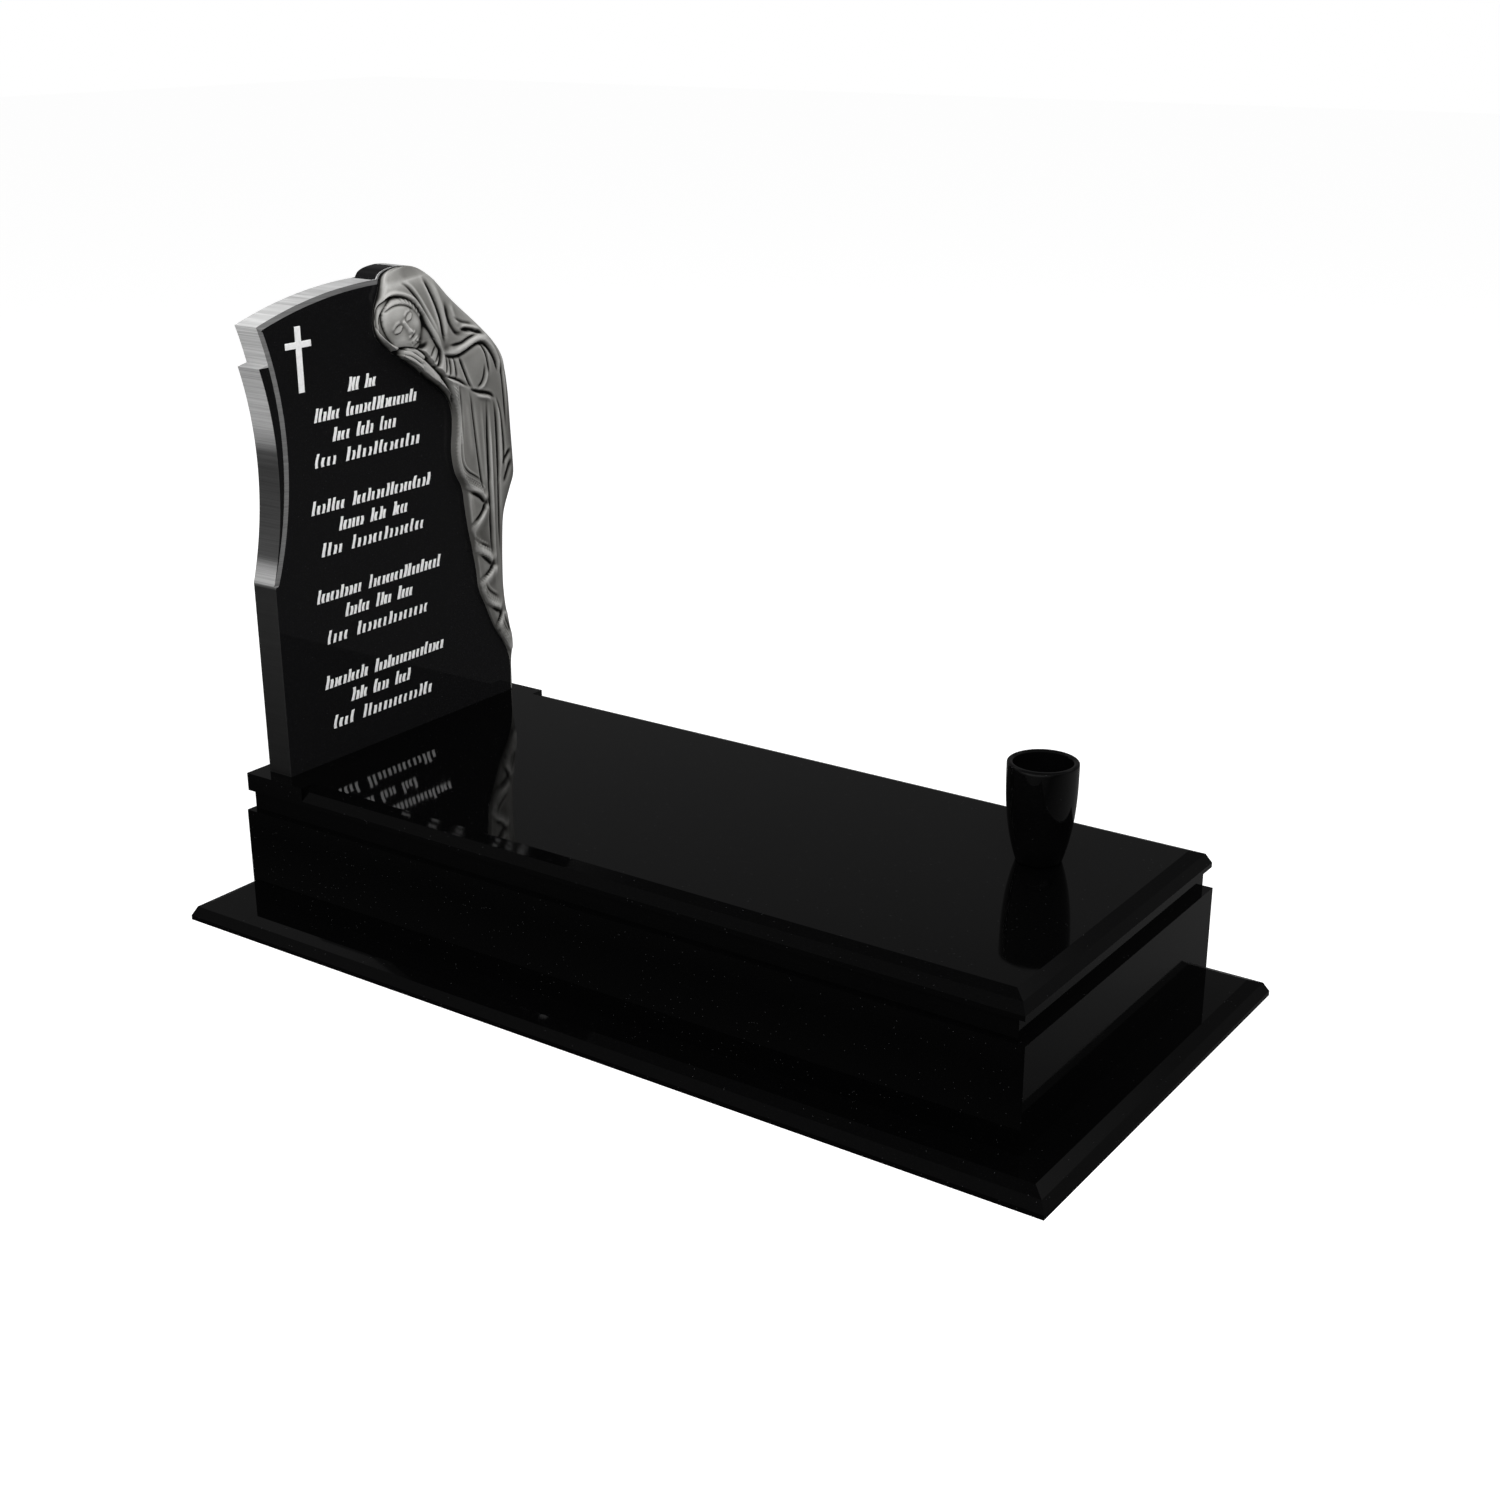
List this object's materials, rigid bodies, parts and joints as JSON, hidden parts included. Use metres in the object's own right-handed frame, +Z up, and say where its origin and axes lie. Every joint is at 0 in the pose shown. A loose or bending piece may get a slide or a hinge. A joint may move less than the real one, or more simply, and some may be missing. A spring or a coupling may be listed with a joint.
{
  "type": "granite grave monument with a carved headstone",
  "caption": "Black granite grave monument: bevelled ledger on a stepped kerb and apron, arched headstone with a veiled mourning figure in relief, and an empty tapered vase.",
  "frame": {"origin": "centre of the underside of the apron, on the ground", "axes": "+Z up, +Y towards the head end along the length, +X across; the headstone's inscribed face looks towards -Y"},
  "size_m": [1, 2.1, 1.3754],
  "materials": {
    "black_granite": "mirror polished",
    "carved_granite": "polished face, honed carving",
    "vase_granite": "mirror polished"
  },
  "bodies": {
    "root": {"apron_left": "black_granite", "apron_right": "black_granite", "apron_foot": "black_granite", "apron_head": "black_granite", "kerb_left": "black_granite", "kerb_right": "black_granite", "kerb_foot": "black_granite", "kerb_head": "black_granite", "spacer_left": "black_granite", "spacer_right": "black_granite", "spacer_foot": "black_granite", "spacer_head": "black_granite", "ledger_slab": "black_granite", "headstone_plinth": "black_granite", "headstone": "carved_granite", "flower_vase": "vase_granite"}
  },
  "joints": []
}
